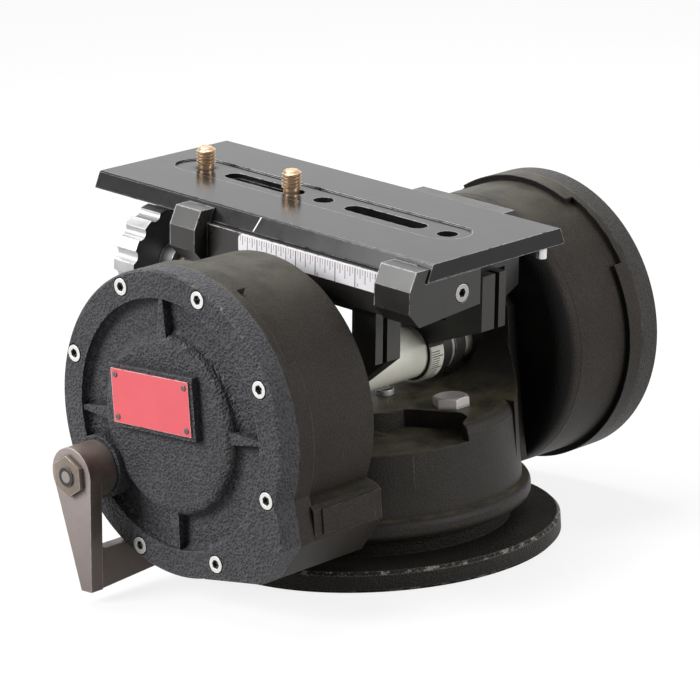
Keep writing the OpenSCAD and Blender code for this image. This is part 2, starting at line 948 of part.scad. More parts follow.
module table() {
    color("dimgray") on_table() difference() {
        union() {
            translate([-table_x, table_front, table_low])
                cube([2 * table_x, table_rear - table_front, table_top - table_low]);
            along_y(table_front, table_front + jaw_front_l) near_jaw_outline();
            along_y(jaw_rear_y, jaw_rear_y + jaw_rear_l) near_jaw_outline();
            translate([knob_x - lug_w / 2, table_rear - lug_l, lug_low])
                cube([lug_w, lug_l, table_low - lug_low + 1]);
        }
        translate([table_cut_x, table_front - 1, table_low - 1])
            cube([table_x - table_cut_x + 1, table_cut_y - table_front + 1, table_top - table_low + 2]);
        along_y(table_front - 1, table_cut_y) polygon([
            [jaw_foot - jaw_x, table_low], [table_cut_x + 1, table_low + 3],
            [table_cut_x + 1, table_low - 1], [jaw_foot - jaw_x, table_low - 1]
        ]);
        translate([0, table_rear - lug_l, lug_low]) along_x(knob_x - lug_w, knob_x + lug_w)
            polygon([[-1, -1], [7, -1], [-1, 7]]);
        translate([knob_x, 0, knob_z]) rod_y(table_rear - lug_l - 1, table_rear + 1, knob_screw_r + run);
        at_leg_screws() {
            translate([0, 0, table_low - 1]) cylinder(h = table_top - table_low + 2, r = tap_r);
            translate([0, 0, table_top - 0.5 - set_head_h]) cylinder(h = 2 * set_head_h, r = sink_set_r);
        }
        at_front_screw() {
            translate([0, 0, -set_head_h]) cylinder(h = 2 * set_head_h, r = sink_set_r);
            translate([0, 0, -front_screw_l - 1]) cylinder(h = front_screw_l + 2, r = tap_r);
        }
        at_jaw_screws() translate([0, 0, -jaw_screw_l - 1]) cylinder(h = jaw_screw_l + 2, r = tap_r);
    }
}

module at_jaw_screws() {
    for (y = [far_jaw_y[0] + jaw_screw_in, far_jaw_y[1] - jaw_screw_in])
        translate([far_jaw_x - 1, y, jaw_screw_z]) rotate([0, 90, 0]) children();
}

module far_jaw() {
    color("dimgray") on_table() difference() {
        along_y(far_jaw_y[0], far_jaw_y[1]) polygon([
            [side_at(jaw_top) + gap, jaw_top], [far_jaw_x - jaw_lip, jaw_top], [far_jaw_x, jaw_top - jaw_edge],
            [far_jaw_x, far_jaw_low + 4.5], [far_jaw_x - 9, far_jaw_low], [table_x, far_jaw_low],
            [table_x, table_top], [side_at(table_top) + gap, table_top]
        ]);
        at_jaw_screws() {
            translate([0, 0, -jaw_screw_l - 1]) cylinder(h = jaw_screw_l + 2, r = tap_r);
            translate([0, 0, -set_head_h]) cylinder(h = 2 * set_head_h, r = sink_set_r);
        }
    }
}

module jaw_screws() {
    color("silver") on_table() at_jaw_screws()
        cap_screw(set_head_d, set_head_h, set_r, jaw_screw_l, set_key);
}

module slide_pads() {
    front = [table_front + 8, table_front + jaw_front_l];
    rear = [jaw_rear_y, jaw_rear_y + jaw_rear_l];
    color("dimgray") on_table() for (y = [front, rear])
        along_y(y[0], y[1]) polygon([
            [-side_at(jaw_top) - gap / 2 - pad_t, jaw_top], [-side_at(jaw_top) - gap / 2, jaw_top],
            [-side_at(table_top) - gap / 2, table_top], [-side_at(table_top) - gap / 2 - pad_t, table_top]
        ]);
}

module rule() {
    middle = table_top - 0.2 - rule_h / 2;
    start = table_front + jaw_front_l + 1;
    corner = 2.6;
    inset = rule_h / 2 - corner;
    color("white") on_table() along_x(-table_x - rule_t, -table_x) {
        for (y = [start + corner, start + rule_l - corner], z = [middle - inset, middle + inset])
            translate([y, z]) circle(r = corner);
        translate([start + corner, middle - rule_h / 2]) square([rule_l - 2 * corner, rule_h]);
        translate([start, middle - inset]) square([rule_l, 2 * inset]);
    }
}

module table_screws() {
    color("silver") on_table() {
        at_leg_screws() translate([0, 0, table_top - 0.5])
            cap_screw(set_head_d, set_head_h, set_r, leg_screw_l, set_key);
        at_front_screw() cap_screw(set_head_d, set_head_h, set_r, front_screw_l, set_key);
    }
}

// Camera plate

// Long slot at x = 0 between two end centres
module slot(ends, width, z0, z1) {
    for (y = ends) translate([0, y, z0]) cylinder(h = z1 - z0, d = width);
    translate([-width / 2, ends[0], z0]) cube([width, ends[1] - ends[0], z1 - z0]);
}

module camera_plate() {
    low = plate_top - plate_t;
    edge = 0.6;
    color("silver") on_table() difference() {
        along_y(plate_front, plate_rear) polygon([
            [-plate_w / 2 + edge, plate_top], [plate_w / 2 - edge, plate_top],
            [side_at(plate_top - edge), plate_top - edge], [side_at(low + edge), low + edge],
            [side_at(low + edge), low],
            [-side_at(low + edge), low], [-side_at(low + edge), low + edge],
            [-side_at(plate_top - edge), plate_top - edge]
        ]);
        slot(slot_a, slot_w, low - 1, plate_top + 1);
        slot(slot_b, slot_w, low - 1, plate_top + 1);
        slot(slot_a, 2 * head_r + 1, low - 1, low + undercut);
        slot(sink_y, 2 * sink_r, plate_top - sink_depth, plate_top + 1);
        for (y = holes_y) translate([0, y, low - 1]) cylinder(h = plate_t + 2, r = cam_screw_d / 2 + 0.3);
        translate([0, screw_a_y, low - 1]) {
            cylinder(h = plate_t + 2, r = cam_screw_d / 2 - relief + run);
            cylinder(h = undercut + 1, r = head_r + 0.5);
        }
        at_stop_pins() cylinder(h = 5, r = 2.5 + seat);
    }
}

module at_stop_pins() {
    for (y = [stop_y, plate_rear - 5]) translate([stop_x, y, plate_top - plate_t - 0.01]) children();
}

module plate_stop_pins() {
    color("silver") on_table() at_stop_pins() translate([0, 0, -6]) cylinder(h = 10.9, r = 2.5);
}

// Camera screw with its head under the plate
module camera_screw(head_low, head_h) {
    top = plate_top + cam_screw_h;
    tip = 1;
    r = cam_screw_d / 2;
    difference() {
        union() {
            translate([0, 0, head_low]) cylinder(h = head_h, r = head_r - 1);
            translate([0, 0, head_low]) cylinder(h = plate_top + 0.3 - head_low, r = r - relief);
            translate([0, 0, plate_top + 0.2]) cylinder(h = top - tip - plate_top - 0.2, r = r);
            translate([0, 0, top - tip]) cylinder(h = tip, r1 = r, r2 = r - tip);
        }
        translate([-head_r, -0.8, head_low - 1]) cube([2 * head_r, 1.6, 2.2]);
    }
}

module fixed_camera_screw() {
    color("goldenrod") on_table() translate([0, screw_a_y, 0])
        camera_screw(plate_top - plate_t + 0.3, undercut - 0.6);
}

module slot_washer() {
    low = plate_top - plate_t + undercut - 0.3 - carrier_t;
    color("silver") on_table() translate([0, screw_b_y, low]) difference() {
        cylinder(h = carrier_t, r = head_r + 0.1);
        translate([0, 0, -1]) cylinder(h = carrier_t + 2, r = cam_screw_d / 2 - relief + run);
    }
}

module slot_camera_screw() {
    color("goldenrod") on_table() translate([0, screw_b_y, 0])
        camera_screw(plate_top - plate_t + 0.2, undercut - carrier_t - 0.8);
}

// Lever and knob

module lock_knob() {
    flute_r = 3.4;
    color("silver") on_table() translate([knob_x, 0, knob_z]) difference() {
        union() {
            rod_y(knob_y, knob_y + knob_w, knob_d / 2);
            rod_y(knob_y - 8, knob_y + 1, 9);
        }
        for (i = [0 : knob_flutes - 1]) rotate([0, i * 360 / knob_flutes, 0])
            translate([0, 0, knob_d / 2 + flute_r * 0.35]) rod_y(knob_y - 1, knob_y + knob_w + 1, flute_r);
        rod_y(knob_y - 9, knob_y + knob_w - 3, knob_screw_r + seat);
    }
}

module lock_knob_screw() {
    color("lightgray") on_table() translate([knob_x, 0, knob_z])
        rod_y(table_rear - lug_l - 4, knob_y + knob_w - 3.5, knob_screw_r);
}

// Places children on the lever's axis
module on_lever() {
    on_axis(near) translate([0, lever_y, lever_z]) children();
}

module lock_lever() {
    r = hub_d / 2;
    corner = 5;
    end = -0.8;
    grip_top = grip_h - lever_l;
    arm_in_x = hub_out - lever_t;
    color("gray") on_lever() difference() {
        union() {
            rod_x(hub_in, hub_out, r);
            along_x(arm_in_x, hub_out)
                polygon([[-r, 0], [r, 0], [end, -lever_l], [end - grip_t, -lever_l]]);
            along_y(end - grip_t, end) difference() {
                polygon([
                    [hub_out, -lever_l], [hub_out, grip_top + corner],
                    [arm_in_x - corner, grip_top + corner], [arm_in_x - corner, grip_top],
                    [hub_out - grip_l, grip_top], [hub_out - grip_l, -lever_l + 3]
                ]);
                translate([arm_in_x - corner, grip_top + corner]) circle(r = corner);
            }
        }
        rod_x(hub_in - 1, hub_out + 1, stud_r + seat);
    }
}

module lever_stud() {
    cam_t = 5;
    cam_r = 6.5;
    color("silver") on_lever() {
        rod_x(house_out - 2, hub_out + lever_nut_h + 0.8, stud_r);
        rod_x(house_out - 2 - cam_t, house_out - 1, cam_r);
    }
}

module lever_nut() {
    color("lightgray") on_lever() translate([hub_out, 0, 0]) rotate([0, 90, 0]) difference() {
        hex(lever_nut_flats, lever_nut_h);
        translate([0, 0, -1]) cylinder(h = lever_nut_h + 2, r = stud_r + seat);
    }
}

base_flange();
flange_screws();
pan_post();
pan_drag_disc();
pan_nut();
yoke_casting();
pan_chamber_lid();
pan_lower_bearing();
pan_upper_bearing();
pan_seal();
deck_cap();
deck_bolts();
deck_plug();
near_housing();
far_housing();
near_cover();
far_cover();
near_gasket();
far_gasket();
near_cover_screws();
far_cover_screws();
nameplate();
nameplate_rivets();
near_tilt_bearing();
far_tilt_bearing();
near_shaft_seal();
far_shaft_seal();
near_stators();
far_stators();
tilt_shaft();
shaft_sleeve();
near_rotor();
far_rotor();
shaft_end_nuts();
near_leg();
far_leg();
near_drive_arm();
far_drive_arm();
tilt_scale_ring();
shaft_washers();
shaft_lock_nuts();
table();
far_jaw();
jaw_screws();
slide_pads();
rule();
table_screws();
camera_plate();
plate_stop_pins();
fixed_camera_screw();
slot_washer();
slot_camera_screw();
lock_knob();
lock_knob_screw();
lock_lever();
lever_stud();
lever_nut();
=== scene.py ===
"""Looks of the fluid video head: finishes, threads, scale marks, studio and camera."""
import itertools
import math

import bmesh
import bpy
from mathutils import Matrix, Vector


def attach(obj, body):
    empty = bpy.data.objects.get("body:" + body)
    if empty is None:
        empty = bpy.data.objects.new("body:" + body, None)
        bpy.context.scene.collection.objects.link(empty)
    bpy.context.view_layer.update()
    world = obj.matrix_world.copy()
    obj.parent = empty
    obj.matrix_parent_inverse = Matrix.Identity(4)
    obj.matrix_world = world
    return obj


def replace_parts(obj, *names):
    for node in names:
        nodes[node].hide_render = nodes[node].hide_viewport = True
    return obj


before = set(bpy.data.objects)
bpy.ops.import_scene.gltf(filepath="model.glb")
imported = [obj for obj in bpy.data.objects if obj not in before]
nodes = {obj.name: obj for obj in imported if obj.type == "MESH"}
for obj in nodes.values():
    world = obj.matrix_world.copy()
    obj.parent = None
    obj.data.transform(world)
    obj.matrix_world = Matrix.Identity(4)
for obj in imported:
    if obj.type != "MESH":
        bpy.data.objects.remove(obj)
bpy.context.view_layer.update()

MM = 0.001
SAME_POINT = 1e-6
AXIS_HEIGHT = 0.086
REST_TILT = math.radians(5.5)
PLATFORM = Matrix.Translation((0, 0, AXIS_HEIGHT)) @ Matrix.Rotation(REST_TILT, 4, "X")
X_AXIS, Z_AXIS = (1.0, 0.0, 0.0), (0.0, 0.0, 1.0)
KNOB_AXIS = (0.0, math.cos(REST_TILT), math.sin(REST_TILT))


# Finishes

def shade(colour, share):
    """A colour, darkened to a share of itself."""
    return tuple(share * c for c in colour)


class Shader:
    """A node material that is built up one node at a time."""

    def __init__(self, name):
        self.material = bpy.data.materials.new(name)
        self.material.use_nodes = True
        self.tree = self.material.node_tree
        self.surface = self.tree.nodes["Principled BSDF"]
        place = self.add("TexCoord")
        self.coord = place.outputs["Object"]
        self.normal = place.outputs["Normal"]

    def add(self, kind, sockets=None, **settings):
        node = self.tree.nodes.new("ShaderNode" + kind)
        for key, value in settings.items():
            setattr(node, key, value)
        for key, value in (sockets or {}).items():
            self.put(node.inputs[key], value)
        return node

    def put(self, socket, value):
        if isinstance(value, bpy.types.NodeSocket):
            self.tree.links.new(value, socket)
        else:
            socket.default_value = value

    def set(self, **values):
        """Sockets of the surface shader, with _ for each space in their names."""
        for key, value in values.items():
            self.put(self.surface.inputs[key.replace("_", " ")], value)

    def stretched(self, scale):
        return self.add("Mapping", {"Vector": self.coord, "Scale": scale}).outputs["Vector"]

    def noise(self, scale, detail=3.0, rough=0.5, vector=None):
        sockets = {"Vector": vector or self.coord, "Scale": scale, "Detail": detail, "Roughness": rough}
        return self.add("TexNoise", sockets).outputs["Fac"]

    def ramp(self, value, low, high, out_low=0.0, out_high=1.0):
        sockets = {"Value": value, "From Min": low, "From Max": high, "To Min": out_low, "To Max": out_high}
        return self.add("MapRange", sockets).outputs["Result"]

    def mix(self, factor, a, b):
        node = self.add("MixRGB", {"Fac": factor})
        for key, value in (("Color1", a), ("Color2", b)):
            self.put(node.inputs[key], value if isinstance(value, bpy.types.NodeSocket) else (*value, 1))
        return node.outputs["Color"]

    def math(self, operation, a, b):
        return self.add("Math", {0: a, 1: b}, operation=operation).outputs[0]

    def times(self, a, b):
        return self.math("MULTIPLY", a, b)

    def without(self, mask):
        return self.math("SUBTRACT", 1.0, mask)

    def dot(self, a, b):
        return self.add("VectorMath", {0: a, 1: b}, operation="DOT_PRODUCT").outputs["Value"]

    def rounded(self, radius):
        """The surface's normal, as if its edges had this radius."""
        return self.add("Bevel", {"Radius": radius}, samples=6).outputs["Normal"]

    def edges(self, radius, low, high, lit_side=None):
        """White along edges, over about the given width, and only on those that look one way if it is given, where
        they are painted highlights.
        """
        round_normal = self.rounded(radius)
        true_normal = self.add("NewGeometry").outputs["Normal"]
        edge = self.ramp(self.dot(round_normal, true_normal), high, low)
        if lit_side:
            own = self.add("VectorTransform", {"Vector": round_normal}, vector_type="NORMAL",
                           convert_from="WORLD", convert_to="OBJECT").outputs["Vector"]
            edge = self.times(edge, self.ramp(self.dot(own, lit_side), 0.35, 0.62))
        return edge

    def shade_in_hollows(self, distance, low, high):
        """White in corners, sockets and under ledges, where the colour is darkened as painted shade."""
        open_sky = self.add("AmbientOcclusion", {"Distance": distance}, samples=8).outputs["AO"]
        return self.ramp(open_sky, high, low)

    def along(self, axis, low, high):
        """White on the faces that look along an axis, either way."""
        size = self.add("Math", {0: self.dot(self.normal, axis)}, operation="ABSOLUTE").outputs[0]
        return self.ramp(size, low, high)

    def bump(self, height, strength, distance, soft=0.0):
        node = self.add("Bump", {"Height": height, "Strength": strength, "Distance": distance})
        if soft:
            self.put(node.inputs["Normal"], self.rounded(soft))
        self.set(Normal=node.outputs["Normal"])


def crinkle(name, dark, light, wear, worn, strength, depth, cell, dust=None, chipped=None, reach=5.0, ends=None,
            gloss=0.2):
    """Crackle enamel on a casting, with worn edges and painted shade in its corners.

    wear says how much of the edges shows the worn colour, cell the grains in a metre, depth theirs in mm and reach
    how far the painted shade in corners spreads, in mm. dust is the colour on what looks up and ends the painted
    shade on what looks along X. chipped is the axis of a round rim with the share of paint lost from it.
    """
    s = Shader(name)
    cells = s.add("TexVoronoi", {"Vector": s.coord, "Scale": cell, "Randomness": 1.0}).outputs["Distance"]
    grain = s.noise(cell * 1.7, 4.0, 0.6)
    height = s.math("ADD", s.times(cells, 0.8), s.times(grain, 0.5))

    colour = s.mix(s.ramp(s.noise(38.0, 4.0, 0.6), 0.3, 0.7), dark, light)
    # The crinkle's pits are darkened: painted shade.
    colour = s.mix(s.ramp(height, 0.30, 0.75), shade(dark, 0.35), colour)
    if dust:
        drifts = s.ramp(s.noise(70.0, 5.0, 0.65), 0.36, 0.60, 0.1, 0.85)
        colour = s.mix(s.times(s.along(Z_AXIS, 0.75, 0.98), drifts), colour, dust)
    # Faces that look along X, the drums' inner ends, are darkened: painted shade.
    if ends:
        colour = s.mix(s.along(X_AXIS, 0.32, 0.58), colour, ends)
    # Corners, recesses and spaces under ledges are darkened: painted shade.
    corners = s.shade_in_hollows(reach * MM, 0.25, 0.80)
    colour = s.mix(corners, colour, shade(dark, 0.30))

    patchy = s.ramp(s.noise(160.0, 5.0, 0.7), 0.5 - wear, 0.72 - wear)
    rubbed = s.times(s.edges(1.0 * MM, 0.80, 0.985), patchy)
    rubbed = s.times(rubbed, s.without(s.shade_in_hollows(3 * MM, 0.55, 0.85)))
    if chipped:
        axis, share = chipped
        rim = s.times(s.along(axis, 0.12, 0.35), s.without(s.along(axis, 0.80, 0.96)))
        knocks = s.times(rim, s.ramp(s.noise(190.0, 6.0, 0.75), 0.52, 0.60, 0.0, share))
        rubbed = s.math("MAXIMUM", rubbed, knocks)
    chips = s.ramp(s.noise(240.0, 6.0, 0.75), 0.70, 0.74)
    colour = s.mix(s.math("MAXIMUM", s.times(rubbed, 0.8), s.times(chips, 0.35)), colour, worn)

    rough = s.math("MAXIMUM", s.ramp(grain, 0.2, 0.8, 0.36, 0.58), corners)
    s.set(Base_Color=colour, Roughness=rough, Specular_IOR_Level=gloss)
    s.bump(height, strength, depth * MM, 0.9 * MM)
    return s.material


def metal(name, dark, light, rough, metallic=1.0, edge=None, brushed=None, fine=500.0, bump=0.06, ior=1.5,
          face=None, soft=0.35, edge_width=0.6, lit_side=None, reach=2.5, fade=None):
    """Bare, anodised or painted metal, with fine marks, painted shade in its corners and lighter edges.

    edge is the colour of lighter edges, partly wear and partly painted highlight, edge_width their width in mm and
    lit_side the way the painted highlights look. brushed stretches the fine marks. face is an axis with the colour
    of what looks along it. soft rounds edges, in mm, and reach says how far the painted shade in corners spreads,
    in mm. fade is the range of heights over which the dark colour takes over, downwards, as a painted shade.
    """
    s = Shader(name)
    grain = s.noise(fine, 3.0, 0.6, s.stretched(brushed) if brushed else None)
    patches = s.ramp(s.noise(45.0, 5.0, 0.65), 0.3, 0.7)

    colour = s.mix(patches, dark, light)
    if face:
        axis, face_colour = face
        colour = s.mix(s.along(axis, 0.9, 0.97), colour, s.mix(patches, shade(face_colour, 0.8), face_colour))
    colour = s.mix(s.ramp(grain, 0.62, 0.8, 0.0, 0.35), colour, shade(dark, 0.7))
    # Darker towards the bottom: painted shade.
    if fade:
        height = s.add("SeparateXYZ", {"Vector": s.coord}).outputs["Z"]
        colour = s.mix(s.ramp(height, *fade, 0.65, 0.0), colour, dark)
    # Corners, sockets and recesses are darkened: painted shade.
    corners = s.shade_in_hollows(reach * MM, 0.35, 0.85)
    colour = s.mix(corners, colour, shade(dark, 0.08))
    # Lighter edges: partly wear, partly a painted highlight where light catches them.
    if edge:
        patchy = s.ramp(s.noise(220.0, 4.0, 0.7), 0.34, 0.50)
        colour = s.mix(s.times(s.edges(edge_width * MM, 0.90, 0.992, lit_side), patchy), colour, edge)

    polish = s.ramp(s.noise(90.0, 4.0, 0.6), 0.3, 0.7, rough * 0.85, rough * 1.2)
    s.set(Base_Color=colour, Metallic=metallic, IOR=ior, Roughness=s.math("MAXIMUM", polish, corners))
    s.bump(grain, bump, 0.2 * MM, soft * MM)
    return s.material


def plain(name, dark, light, rough, scale=140.0, bump=0.05):
    """Paint, rubber or print, slightly mottled."""
    s = Shader(name)
    mottle = s.noise(scale, 4.0, 0.6)
    s.set(Base_Color=s.mix(s.ramp(mottle, 0.35, 0.65), dark, light),
          Roughness=s.ramp(mottle, 0.3, 0.7, rough * 0.9, rough * 1.1))
    s.bump(s.noise(900.0), bump, 0.2 * MM)
    return s.material


COVER = crinkle(
    "crinkle_cover", dark=(0.066, 0.065, 0.072), light=(0.092, 0.091, 0.099), wear=0.14, worn=(0.24, 0.235, 0.235),
    strength=1.0, depth=1.2, cell=780.0, chipped=(X_AXIS, 0.55))
# The far cover is a darker copy of the near cover's enamel: painted shade.
SHADED_FAR_COVER = crinkle(
    "crinkle_far_cover_shaded", dark=(0.042, 0.039, 0.036), light=(0.058, 0.054, 0.050), wear=0.10, worn=(0.18, 0.17, 0.16),
    strength=0.9, depth=0.6, cell=1000.0)
BODY = crinkle(
    "crinkle_body", dark=(0.0235, 0.0195, 0.0160), light=(0.0335, 0.0283, 0.0235), wear=0.08, worn=(0.15, 0.14, 0.12),
    strength=0.6, depth=0.35, cell=1300.0, dust=(0.135, 0.123, 0.078))
# The colour for faces along X paints shade on the inner end faces of both drums.
HOUSING = crinkle(
    "crinkle_housing", dark=(0.034, 0.0288, 0.0245), light=(0.047, 0.0405, 0.0345), wear=0.08, worn=(0.15, 0.14, 0.12),
    strength=0.6, depth=0.35, cell=1300.0, dust=(0.084, 0.080, 0.060), ends=(0.0030, 0.0028, 0.0026), gloss=0.12)
FLANGE = crinkle(
    "crinkle_flange", dark=(0.024, 0.0215, 0.019), light=(0.037, 0.034, 0.030), wear=0.26, worn=(0.46, 0.42, 0.37),
    strength=0.9, depth=0.6, cell=1000.0, chipped=(Z_AXIS, 1.0), reach=14.0, gloss=0.12)
# Bright edges that look up and to the left are painted highlights.
ANODISED = metal(
    "dark_anodised", dark=(0.0185, 0.0170, 0.0157), light=(0.0255, 0.0237, 0.022), rough=0.30, metallic=0.0,
    edge=(0.70, 0.70, 0.72), ior=1.48, edge_width=1.0, lit_side=(-0.6, 0.0, 0.8))
PLATE = metal(
    "grey_anodised", dark=(0.006, 0.0061, 0.0068), light=(0.014, 0.0142, 0.0151), rough=0.18, metallic=0.0,
    edge=(0.62, 0.62, 0.63), brushed=(1.0, 0.05, 1.0), fine=700.0, bump=0.012, ior=1.32, reach=10.0)
LEG = metal(
    "grey_cast", dark=(0.019, 0.0176, 0.0155), light=(0.029, 0.0272, 0.0243), rough=0.45, metallic=0.0,
    edge=(0.10, 0.096, 0.088))
STEEL = metal(
    "bright_steel", dark=(0.72, 0.71, 0.69), light=(0.82, 0.81, 0.79), rough=0.32, metallic=0.6,
    edge=(0.90, 0.89, 0.87), reach=5.0)
SCREW = metal(
    "used_screw", dark=(0.30, 0.29, 0.28), light=(0.42, 0.41, 0.39), rough=0.36, metallic=0.7,
    edge=(0.72, 0.71, 0.69), reach=5.0)
DULL = metal(
    "dull_steel", dark=(0.10, 0.095, 0.09), light=(0.16, 0.15, 0.14), rough=0.40, metallic=0.8,
    edge=(0.30, 0.29, 0.28))
BOLT = metal(
    "plain_bolt", dark=(0.62, 0.565, 0.55), light=(0.80, 0.745, 0.725), rough=0.36, metallic=0.3,
    edge=(0.90, 0.87, 0.85), fine=300.0, bump=0.2)
WORN = metal(
    "worn_steel", dark=(0.13, 0.098, 0.080), light=(0.26, 0.208, 0.180), rough=0.42, metallic=0.2,
    edge=(0.74, 0.70, 0.67), fine=300.0, bump=0.2, face=(X_AXIS, (0.36, 0.305, 0.285)), fade=(0.004, 0.056))
RUSTY = metal(
    "rusty_steel", dark=(0.15, 0.115, 0.09), light=(0.30, 0.24, 0.20), rough=0.45, metallic=0.3,
    edge=(0.62, 0.57, 0.53), fine=300.0, bump=0.2)
SHAFT = metal(
    "shaft_metal", dark=(0.88, 0.865, 0.74), light=(0.96, 0.945, 0.83), rough=0.32, metallic=0.0,
    edge=(0.97, 0.96, 0.88), ior=1.9)
DRAG = metal("drag_plates", dark=(0.20, 0.20, 0.21), light=(0.28, 0.28, 0.29), rough=0.4)
# Its faces along the knob's axis are darker: painted shade.
BRIGHT = metal(
    "bright_aluminium", dark=(0.40, 0.40, 0.40), light=(0.50, 0.50, 0.50), rough=0.38, metallic=0.8,
    edge=(0.80, 0.80, 0.80), face=(KNOB_AXIS, (0.23, 0.23, 0.24)))
BRASS = metal(
    "brass", dark=(0.54, 0.36, 0.21), light=(0.70, 0.50, 0.32), rough=0.30, metallic=0.9,
    edge=(0.84, 0.66, 0.46), fine=900.0, soft=0.0, edge_width=0.2)
RED = metal(
    "red_plate", dark=(0.78, 0.085, 0.11), light=(0.86, 0.105, 0.13), rough=0.35, metallic=0.0,
    edge=(0.88, 0.74, 0.72), bump=0.02, ior=1.7)
RULE = plain("white_rule", dark=(0.90, 0.885, 0.91), light=(0.96, 0.945, 0.97), rough=0.35, scale=60.0, bump=0.02)
RUBBER = plain("black_rubber", dark=(0.014, 0.014, 0.014), light=(0.022, 0.022, 0.022), rough=0.65)
INK = plain("rule_ink", dark=(0.06, 0.055, 0.06), light=(0.10, 0.09, 0.10), rough=0.5)
RED_INK = plain("rule_red_ink", dark=(0.40, 0.12, 0.14), light=(0.50, 0.18, 0.20), rough=0.5)

FINISH = {
    COVER: "near_cover",
    SHADED_FAR_COVER: "far_cover",
    HOUSING: "near_housing far_housing",
    BODY: "yoke_casting deck_cap pan_chamber_lid near_gasket far_gasket",
    FLANGE: "base_flange",
    ANODISED: "table far_jaw slide_pads",
    PLATE: "camera_plate",
    LEG: "near_leg far_leg near_drive_arm far_drive_arm",
    STEEL: "flange_screws near_cover_screws far_cover_screws shaft_end_nuts shaft_washers plate_stop_pins deck_plug"
           " slot_washer pan_lower_bearing pan_upper_bearing near_tilt_bearing far_tilt_bearing",
    SCREW: "jaw_screws table_screws",
    DULL: "nameplate_rivets shaft_lock_nuts",
    BOLT: "deck_bolts",
    WORN: "lock_lever lever_stud",
    RUSTY: "lever_nut lock_knob_screw pan_nut",
    SHAFT: "tilt_shaft shaft_sleeve tilt_scale_ring pan_post",
    DRAG: "pan_drag_disc near_stators far_stators near_rotor far_rotor",
    BRIGHT: "lock_knob",
    BRASS: "fixed_camera_screw slot_camera_screw",
    RED: "nameplate",
    RULE: "rule",
    RUBBER: "pan_seal near_shaft_seal far_shaft_seal",
}
for material, names in FINISH.items():
    for name in names.split():
        nodes[name].data.materials.clear()
        nodes[name].data.materials.append(material)


# Building blocks of the detail pieces

BOX_FACES = ((0, 1, 3, 2), (4, 6, 7, 5), (0, 4, 5, 1), (2, 3, 7, 6), (0, 2, 6, 4), (1, 5, 7, 3))


def span(name, seen_from=PLATFORM):
    """Lowest and highest corner of a CAD node, in the tilted platform's frame or another one."""
    back = seen_from.inverted()
    points = [back @ v.co for v in nodes[name].data.vertices]
    return (Vector([min(p[i] for p in points) for i in range(3)]),
            Vector([max(p[i] for p in points) for i in range(3)]))


def piece(name, mesh, material, body, placed=PLATFORM):
    """A finished mesh as a piece that rides on a CAD body."""
    bmesh.ops.recalc_face_normals(mesh, faces=mesh.faces)
    data = bpy.data.meshes.new(name)
    mesh.to_mesh(data)
    mesh.free()
    data.transform(placed)
    data.materials.append(material)
    made = bpy.data.objects.new(name, data)
    bpy.context.scene.collection.objects.link(made)
    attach(made, body)
    return made


def smooth(made, angle=35.0):
    """Shades a piece smooth, apart from edges sharper than the angle."""
    for face in made.data.polygons:
        face.use_smooth = True
    made.data.set_sharp_from_angle(angle=math.radians(angle))
    return made


def join(mesh, extra):
    """Moves a finished mesh into another one."""
    verts = [mesh.verts.new(v.co) for v in extra.verts]
    extra.verts.index_update()
    for face in extra.faces:
        mesh.faces.new([verts[v.index] for v in face.verts])
    extra.free()


def six_sided(mesh, corners):
    """A closed form with eight corners, listed by x, then y, then z, each from low to high."""
    verts = [mesh.verts.new(corner) for corner in corners]
    for face in BOX_FACES:
        mesh.faces.new([verts[i] for i in face])


def block(mesh, low, high):
    """A box between two opposite corners."""
    six_sided(mesh, itertools.product(*zip(low, high)))


def lathe(mesh, profile, steps=40):
    """A turned form about Z from (radius, height) pairs."""
    rings = []
    for r, z in profile:
        if r == 0:
            rings.append([mesh.verts.new((0, 0, z))])
        else:
            turns = (2 * math.pi * i / steps for i in range(steps))
            rings.append([mesh.verts.new((r * math.cos(a), r * math.sin(a), z)) for a in turns])
    for a, b in zip(rings, rings[1:]):
        for i in range(steps):
            j = (i + 1) % steps
            if len(a) == 1:
                mesh.faces.new((a[0], b[j], b[i]))
            elif len(b) == 1:
                mesh.faces.new((a[i], a[j], b[0]))
            else:
                mesh.faces.new((a[i], a[j], b[j], b[i]))


def thread(mesh, z0, z1, root, crest, pitch, steps=36):
    """A thread's ridge wound round a core, running out at both ends."""
    run_out = 0.35 * steps
    base = root - 0.15 * MM
    total = int((z1 - z0) / pitch * steps)
    rows = []
    for k in range(total + 1):
        a = 2 * math.pi * k / steps
        z = z0 + pitch * k / steps
        top = root + (crest - root) * min(1.0, k / run_out, (total - k) / run_out)
        section = ((base, -0.48), (top, -0.10), (top, 0.10), (base, 0.48))
        rows.append([mesh.verts.new((r * math.cos(a), r * math.sin(a), z + dz * pitch)) for r, dz in section])
    for a, b in zip(rows, rows[1:]):
        for i in range(4):
            j = (i + 1) % 4
            mesh.faces.new((a[i], b[i], b[j], a[j]))
    mesh.faces.new(rows[0])
    mesh.faces.new(rows[-1][::-1])


def numeral(text, size):
    """A plain number as a thin closed form on the XY plane, centred on the origin."""
    curve = bpy.data.curves.new("numeral", "FONT")
    curve.body = text
    curve.size = size
    curve.extrude = 0.03 * MM
    curve.align_x = "CENTER"
    curve.align_y = "CENTER"
    made = bpy.data.objects.new("numeral", curve)
    bpy.context.scene.collection.objects.link(made)
    bpy.context.view_layer.update()
    mesh = bmesh.new()
    mesh.from_mesh(made.to_mesh())
    made.to_mesh_clear()
    bmesh.ops.remove_doubles(mesh, verts=mesh.verts, dist=SAME_POINT)
    bpy.data.objects.remove(made)
    bpy.data.curves.remove(curve)
    return mesh


# Detail pieces

PRINT = 0.03 * MM
EIGHTH_INCH = 3.175 * MM
SCREW_CREST, SCREW_ROOT, SCREW_PITCH = 4.76 * MM, 3.95 * MM, 1.5875 * MM
SCREW_HEAD = 3.0 * MM


